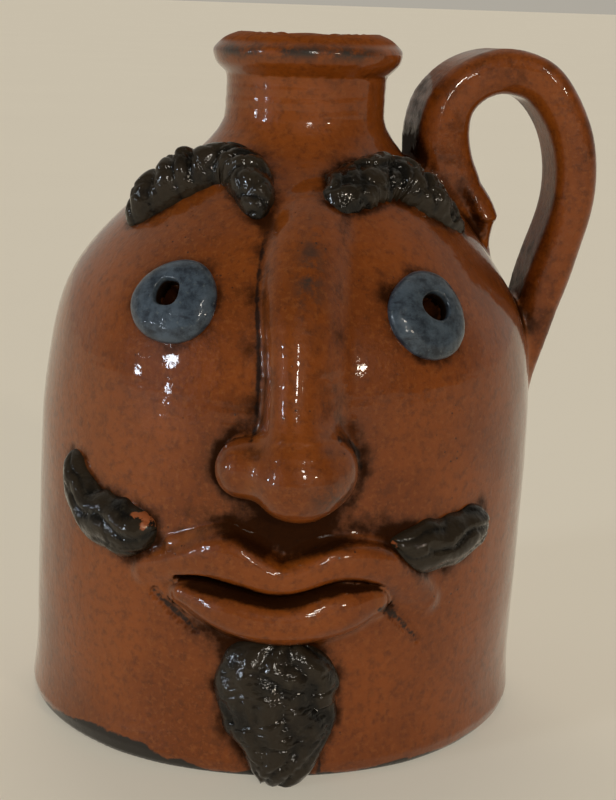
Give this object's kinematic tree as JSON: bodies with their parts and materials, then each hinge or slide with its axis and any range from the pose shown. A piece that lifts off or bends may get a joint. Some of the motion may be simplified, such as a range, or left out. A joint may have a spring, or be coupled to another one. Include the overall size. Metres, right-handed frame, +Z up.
{
  "type": "face jug",
  "caption": "Stout glazed clay jug with a narrow rolled-collar neck, a strap handle at one side and a modelled face with ring eyes, a long nose, full lips and a goatee",
  "frame": {"origin": "centre of the flat underside of the foot", "axes": "+Z up, the face looks along -Y, the handle is at +X"},
  "size_m": [0.1793, 0.1782, 0.2155],
  "materials": {
    "red_glaze": "gloss",
    "black_glaze": "gloss",
    "blue_glaze": "gloss"
  },
  "bodies": {
    "root": {"jug": "red_glaze", "left_eye": "blue_glaze", "right_eye": "blue_glaze", "left_eyebrow": "black_glaze", "right_eyebrow": "black_glaze", "left_moustache": "black_glaze", "right_moustache": "black_glaze", "goatee": "black_glaze"}
  },
  "joints": []
}
